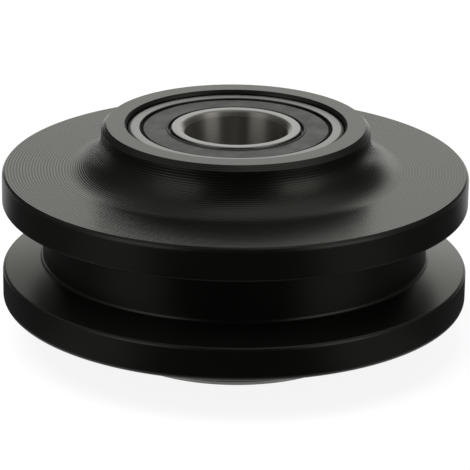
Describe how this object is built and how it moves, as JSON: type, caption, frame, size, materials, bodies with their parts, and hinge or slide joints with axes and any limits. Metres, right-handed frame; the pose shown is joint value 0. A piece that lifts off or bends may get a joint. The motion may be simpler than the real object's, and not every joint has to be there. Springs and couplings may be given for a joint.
{
  "type": "sliding door roller",
  "caption": "Flanged track wheel with a deep groove, turned in black plastic, that runs on sealed ball bearings around a plain axle bore.",
  "frame": {"origin": "centre of the wheel, on the axle's axis and midway between the hub's two ends", "axes": "+Z along the axle; the wheel lies on its lower hub end, and X and Y are any two directions across it"},
  "size_m": [0.09, 0.09, 0.044],
  "materials": {
    "black_plastic": "turned satin, with fine concentric tool marks",
    "ring_steel": "ground",
    "ball_steel": "polished",
    "cage_steel": "pressed sheet",
    "seal_rubber": "moulded, satin",
    "spacer_steel": "turned"
  },
  "bodies": {
    "axle_side": {"spacer_sleeve": "spacer_steel", "upper_inner_ring": "ring_steel", "lower_inner_ring": "ring_steel"},
    "wheel": {"wheel_body": "black_plastic", "lower_inboard_seal": "seal_rubber", "lower_outboard_seal": "seal_rubber", "lower_outer_ring": "ring_steel", "upper_inboard_seal": "seal_rubber", "upper_outboard_seal": "seal_rubber", "upper_outer_ring": "ring_steel"},
    "upper_cage_set": {"upper_ball_1": "ball_steel", "upper_ball_2": "ball_steel", "upper_ball_3": "ball_steel", "upper_ball_4": "ball_steel", "upper_ball_5": "ball_steel", "upper_ball_6": "ball_steel", "upper_ball_7": "ball_steel", "upper_ball_8": "ball_steel", "upper_ball_9": "ball_steel", "upper_cage_rivets": "cage_steel", "upper_inboard_cage": "cage_steel", "upper_outboard_cage": "cage_steel"},
    "lower_cage_set": {"lower_ball_1": "ball_steel", "lower_ball_2": "ball_steel", "lower_ball_3": "ball_steel", "lower_ball_4": "ball_steel", "lower_ball_5": "ball_steel", "lower_ball_6": "ball_steel", "lower_ball_7": "ball_steel", "lower_ball_8": "ball_steel", "lower_ball_9": "ball_steel", "lower_cage_rivets": "cage_steel", "lower_inboard_cage": "cage_steel", "lower_outboard_cage": "cage_steel"}
  },
  "joints": [
    {"name": "wheel_spin", "type": "hinge", "parent": "axle_side", "child": "wheel", "pos_m": [0, 0, 0], "axis": [0, 0, 1], "continuous": true},
    {"name": "upper_cage_spin", "type": "hinge", "parent": "axle_side", "child": "upper_cage_set", "pos_m": [0, 0, 0.01525], "axis": [0, 0, 1], "continuous": true},
    {"name": "lower_cage_spin", "type": "hinge", "parent": "axle_side", "child": "lower_cage_set", "pos_m": [0, 0, -0.01525], "axis": [0, 0, 1], "continuous": true}
  ],
  "couplings": [
    {"joint": "upper_cage_spin", "follows": "wheel_spin", "ratio": 0.60242},
    {"joint": "lower_cage_spin", "follows": "wheel_spin", "ratio": 0.60242}
  ]
}
